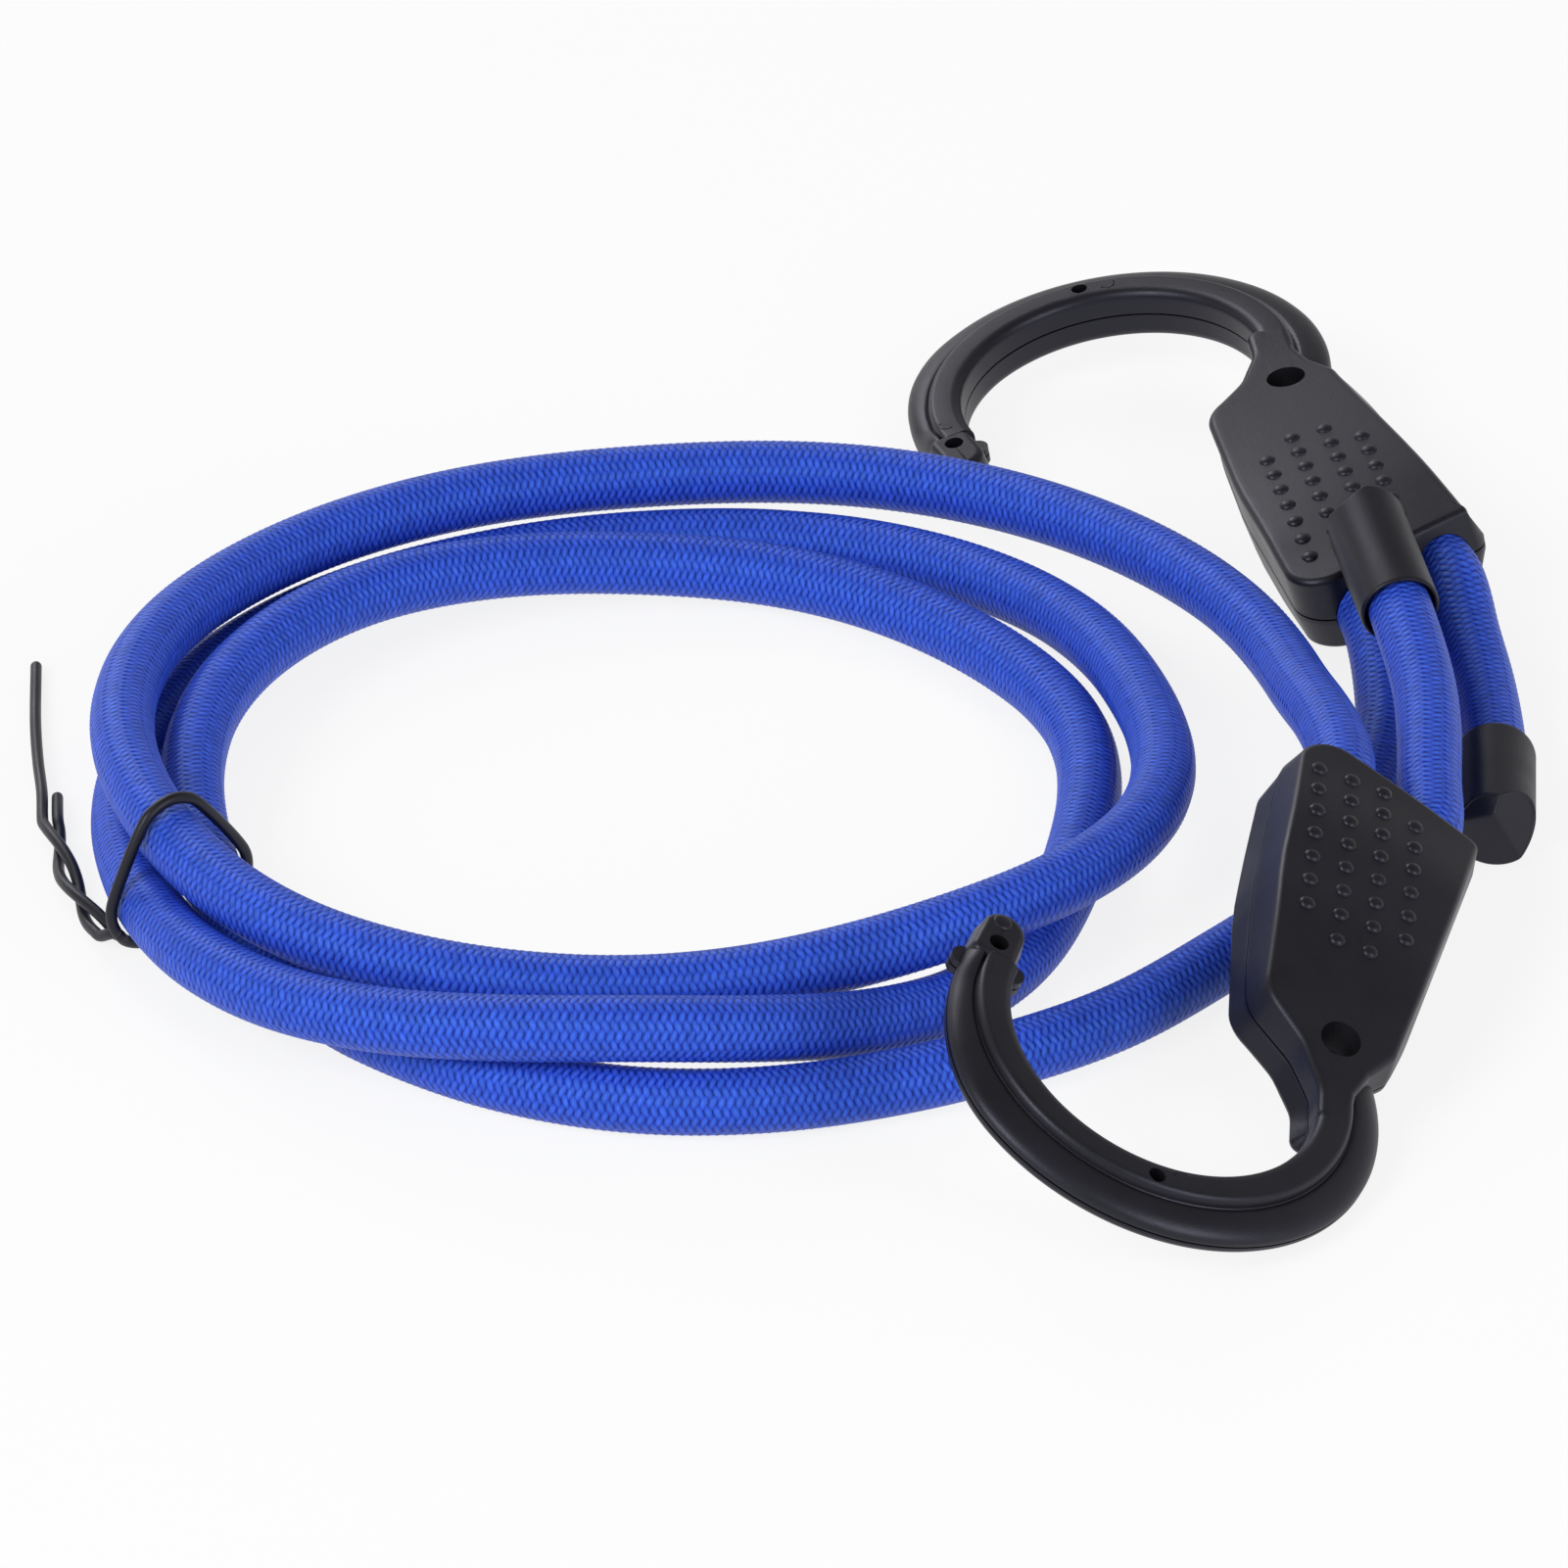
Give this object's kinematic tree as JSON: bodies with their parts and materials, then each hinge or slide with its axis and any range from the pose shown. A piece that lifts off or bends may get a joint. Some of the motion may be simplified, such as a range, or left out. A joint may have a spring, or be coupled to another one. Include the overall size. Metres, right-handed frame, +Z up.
{
  "type": "travel clothesline",
  "caption": "Stretchy braided cord wound in a flat coil, with a flat open-ring plastic hook and a capped tail near each end, held by a wire tie",
  "frame": {"origin": "on the surface the line lies on, below the middle of the box round both hooks", "axes": "+Z up from the surface; +Y from the front hook to the rear hook; the coil lies towards -X"},
  "size_m": [0.2315, 0.2834, 0.0349],
  "materials": {
    "braid": "tight woven sheath with fine cross stitches and a soft sheen",
    "rubber": "plain",
    "hook_plastic": "satin, finely pebbled",
    "cap_plastic": "satin",
    "tie_plastic": "satin coating over a wire",
    "steel": "drawn wire"
  },
  "bodies": {
    "coil": {"coil_cord": "braid", "coil_cord_rubber": "rubber", "front_lead_cord": "braid", "front_lead_cord_rubber": "rubber", "rear_lead_cord": "braid", "rear_lead_cord_rubber": "rubber", "front_tail_cord": "braid", "front_tail_cord_rubber": "rubber", "rear_tail_cord": "braid", "rear_tail_cord_rubber": "rubber", "wire_tie": "tie_plastic"},
    "front_hook": {"front_hook_top_shell": "hook_plastic", "front_hook_bottom_shell": "hook_plastic", "front_hook_pin": "steel", "front_hook_ring_wire": "steel", "front_cord_bend": "braid"},
    "rear_hook": {"rear_hook_top_shell": "hook_plastic", "rear_hook_bottom_shell": "hook_plastic", "rear_hook_pin": "steel", "rear_hook_ring_wire": "steel", "rear_cord_bend": "braid"},
    "front_cap": {"front_end_cap": "cap_plastic"},
    "rear_cap": {"rear_end_cap": "cap_plastic"}
  },
  "joints": [
    {"name": "front_hook_lift", "type": "hinge", "parent": "coil", "child": "front_hook", "pos_m": [0.0258, -0.0394, 0.018], "axis": [-0.8752, 0.2393, 0.4205], "range_deg": [0, 45], "deforming": ["front_lead_cord", "front_lead_cord_rubber", "front_tail_cord", "front_tail_cord_rubber"]},
    {"name": "rear_hook_swing", "type": "hinge", "parent": "coil", "child": "rear_hook", "pos_m": [0.032, 0.0434, 0.0129], "axis": [0.1678, 0.0707, -0.9833], "range_deg": [0, 40], "deforming": ["rear_lead_cord", "rear_lead_cord_rubber", "rear_tail_cord", "rear_tail_cord_rubber"]},
    {"name": "front_cap_slide", "type": "slide", "parent": "coil", "child": "front_cap", "axis": [0.217, -0.9639, -0.1544], "range_m": [0, 0.025], "deforming": ["front_tail_cord", "front_tail_cord_rubber"]},
    {"name": "rear_cap_slide", "type": "slide", "parent": "coil", "child": "rear_cap", "axis": [0.0504, 0.9987, 0], "range_m": [0, 0.02], "deforming": ["rear_tail_cord", "rear_tail_cord_rubber"]}
  ]
}
